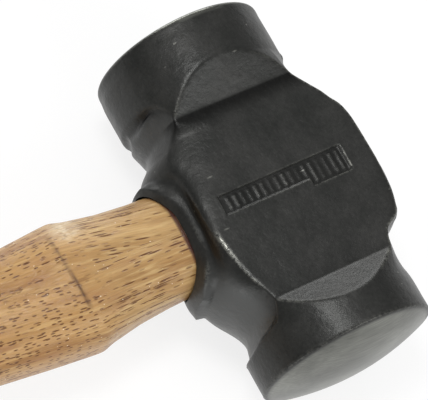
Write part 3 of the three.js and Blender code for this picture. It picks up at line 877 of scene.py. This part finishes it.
    relief = add("ShaderNodeMath", TIMES_PLUS, _0=pores, _1=-1.0, _2=fibre).outputs[0]
    bump = add("ShaderNodeBump", Strength=0.55, Distance=0.0002, Height=relief).outputs[0]
    drops = add("ShaderNodeTexNoise", Vector=place, Scale=per(1.0), Detail=3.0).outputs["Fac"]
    coat_bump = add("ShaderNodeBump", Strength=0.6, Distance=0.0002, Height=drops, Normal=bump).outputs[0]
    surface = add(
        "ShaderNodeBsdfPrincipled",
        Base_Color=colour,
        Roughness=0.5,
        Specular_IOR_Level=0.2,
        Normal=bump,
        Coat_Weight=0.55,
        Coat_Roughness=0.17,
        Coat_Normal=coat_bump,
    )
    add("ShaderNodeOutputMaterial", Surface=surface.outputs[0])
    return material


# The wedges that lock the handle, each as its thin end and its struck end (x, half width, half height)
WOOD_LENGTH = 34
STEEL_LENGTH = 20
WOOD_TIP, WOOD_END = (TONGUE_END - WOOD_LENGTH, 11.08, 0.44), (TONGUE_END, 11.08, 1.68)
STEEL_TIP, STEEL_END = (TONGUE_END - STEEL_LENGTH, 0.33, 5.98), (TONGUE_END, 1.18, 5.98)
STEEL_PLACES = (-6.25, 6.25)
SLOT_GAP = 0.1


def wedge_block(tip, end, gap=0.0, at=0.0):
    """A tapered block along x, at a place along y. With a gap it is the slot for that block, and runs
    out past the end of the tongue."""
    shape = bmesh.new()
    bmesh.ops.create_cube(shape, size=2)
    for vert in shape.verts:
        _, side, level = vert.co
        x, wide, high = tip if vert.co.x < 0 else end
        x += math.copysign(gap, vert.co.x) * (20 if vert.co.x > 0 else 1)
        vert.co = (x, EYE_SHIFT + at + math.copysign(wide + gap, side), math.copysign(high + gap, level))
    return shape


def struck_wedge(tip, end, at=0.0):
    """A wedge with its corners eased and its struck end battered by the hammer that drove it."""
    shape = wedge_block(tip, end, 0.0, at)
    bmesh.ops.bevel(
        shape, geom=shape.edges[:], affect="EDGES", offset=min(0.22, tip[1] / 2, tip[2] / 2), segments=2,
        profile=0.5, material=-1,
    )
    bmesh.ops.triangulate(shape, faces=shape.faces)
    for _ in range(6):
        coarse = [edge for edge in shape.edges if edge.calc_length() > 1.2]
        if not coarse:
            break
        bmesh.ops.subdivide_edges(shape, edges=coarse, cuts=1)
        bmesh.ops.triangulate(shape, faces=shape.faces)
    for vert in shape.verts:
        if vert.co.x > TONGUE_END - 0.05:
            vert.co.x -= 0.16 * (1 + noise.noise(vert.co * 0.9)) * 0.9
        else:
            vert.co += Vector((0, noise.noise(vert.co / 3), noise.noise(vert.co / 3 + vert.co.yzx))) * 0.02
    in_place(shape)
    bmesh.ops.recalc_face_normals(shape, faces=shape.faces)
    return shape


def riven_wood():
    """A dry, unvarnished hardwood wedge: pale straw brown, with split fibres and a crushed end."""
    material = bpy.data.materials.new("dry riven hardwood")
    add = Recipe(material).add
    place = add("ShaderNodeTexCoord").outputs["Object"]
    drawn = add("ShaderNodeMapping", Vector=place, Scale=(0.09, 1, 1)).outputs[0]
    fibre = add("ShaderNodeTexNoise", Vector=drawn, Scale=per(0.5), Detail=5.0, Roughness=0.7).outputs["Fac"]
    stain = add("ShaderNodeTexNoise", Vector=place, Scale=per(6), Detail=4.0).outputs["Fac"]
    tone = coloured(add("ShaderNodeValToRGB", Fac=fibre), (0.3, "#a08460"), (0.7, "#dcc69c"))
    dirt = add(
        "ShaderNodeMapRange", Value=stain, From_Min=0.5, From_Max=0.75, To_Min=0.0, To_Max=0.6
    ).outputs["Result"]
    colour = add("ShaderNodeMix", COLOURS, _0=dirt, _6=tone, _7=linear("#6e573c")).outputs[2]
    bump = add("ShaderNodeBump", Strength=0.7, Distance=0.0002, Height=fibre).outputs[0]
    surface = add("ShaderNodeBsdfPrincipled", Base_Color=colour, Roughness=0.75, Normal=bump)
    add("ShaderNodeOutputMaterial", Surface=surface.outputs[0])
    return material


def struck_steel():
    """Mild steel wedges: dull grey, oiled, with darker spots of scale."""
    material = bpy.data.materials.new("mild steel, battered")
    add = Recipe(material).add
    place = add("ShaderNodeTexCoord").outputs["Object"]
    spots = add("ShaderNodeTexNoise", Vector=place, Scale=per(1.6), Detail=5.0, Roughness=0.65).outputs["Fac"]
    tone = coloured(add("ShaderNodeValToRGB", Fac=spots), (0.38, "#4d4a45"), (0.62, "#94928c"))
    rough = add(
        "ShaderNodeMapRange", Value=spots, From_Min=0.35, From_Max=0.65, To_Min=0.55, To_Max=0.35
    ).outputs["Result"]
    bump = add("ShaderNodeBump", Strength=0.5, Distance=0.0001, Height=spots).outputs[0]
    surface = add("ShaderNodeBsdfPrincipled", Base_Color=tone, Metallic=1.0, Roughness=rough, Normal=bump)
    add("ShaderNodeOutputMaterial", Surface=surface.outputs[0])
    return material


def mark_handle(piece):
    """Marks the places where the handle's wood looks different, and lays its grain."""
    spots, _ = measured(piece)
    x, y, z = spots.T
    across = y - EYE_SHIFT
    mouth = COLLAR_CROWN - collar_reach(y, 1) - np.sqrt(np.maximum(COLLAR_CROWN**2 - z**2, 0))
    mark(piece, "seam", eased(1.0, 0.2, np.abs(x - mouth)))
    mark(piece, "head end", eased(-62, -40, x))
    mark(piece, "low side", eased(-4, -9, across) * eased(-44, -56, x))
    # A painted highlight on the shoulder's upper corner.
    corner = np.exp(-(((x - SHOULDER - 1.5) / 3.2) ** 2)) * eased(6, 11, across) * eased(15.5, 13.5, across)
    mark(piece, "painted shoulder highlight", 0.65 * corner * (z > 0))
    dent = np.exp(-(((x - CREASE + 0.06 * across) / 0.42) ** 2))
    dent = dent * eased(13, 9, across) * eased(-10, -8, across)
    dashed = 0.5 + 0.3 * eased(0, -3, across) + 0.25 * np.sin(across * 3.1)
    mark(piece, "crease", dent * dashed * (z > 0))
    lay_grain(piece, x, across, z)


def lay_grain(piece, x, across, z):
    """Stores the grain's coordinates on the corners of the faces: along the handle, and over each
    broad face and down to the middle of the sides. On the cut ends they run over the end instead."""
    faces = piece.data.polygons
    corners = np.zeros(len(piece.data.loops), int)
    piece.data.loops.foreach_get("vertex_index", corners)
    sizes = [len(face.vertices) for face in faces]
    own = placing.inverted().to_3x3() * MM
    endwise = np.repeat([abs((own @ face.normal).x) for face in faces], sizes) > 0.6
    middle = np.add.reduceat(z[corners], np.cumsum([0] + sizes[:-1])) / sizes
    along, wide, high = x[corners], across[corners], z[corners]
    over = wide + np.sign(wide) * (12 - np.abs(high))
    over = np.where(np.repeat(middle, sizes) > 0, over, 120 - over)
    side_grain = np.stack([along, over - GRAIN_LEAN * along, along * 0], 1)
    end_grain = np.stack([high * 4, wide, high * 0], 1)
    grain = np.where(endwise[:, None], end_grain, side_grain).astype(np.float32)
    piece.data.attributes.new("grain", "FLOAT_VECTOR", "CORNER").data.foreach_set("vector", grain.ravel())


steel_slots = [(STEEL_TIP, STEEL_END, SLOT_GAP, at) for at in STEEL_PLACES]
wood_shape = struck_wedge(WOOD_TIP, WOOD_END)
wooden_wedge = finished("riven_wedge", wood_shape, riven_wood(), "wedge_wood", "wooden_wedge")
for slot in steel_slots:
    cut_out(wooden_wedge, wedge_block(*slot))
wedge_steel = struck_steel()
for number, at in enumerate(STEEL_PLACES, 1):
    steel_shape = struck_wedge(STEEL_TIP, STEEL_END, at)
    finished(f"struck_wedge_{number}", steel_shape, wedge_steel, "wedge_steel", f"steel_wedge_{number}")

handle_shape = in_place(lofted(handle_sections(), 120, EYE_POWER))
handle = finished("shaved_handle", handle_shape, varnished_wood(), "varnished_hardwood", "handle")
for slot in [(WOOD_TIP, WOOD_END, SLOT_GAP), *steel_slots]:
    cut_out(handle, wedge_block(*slot))
handle.data.set_sharp_from_angle(angle=math.radians(40))
mark_handle(handle)
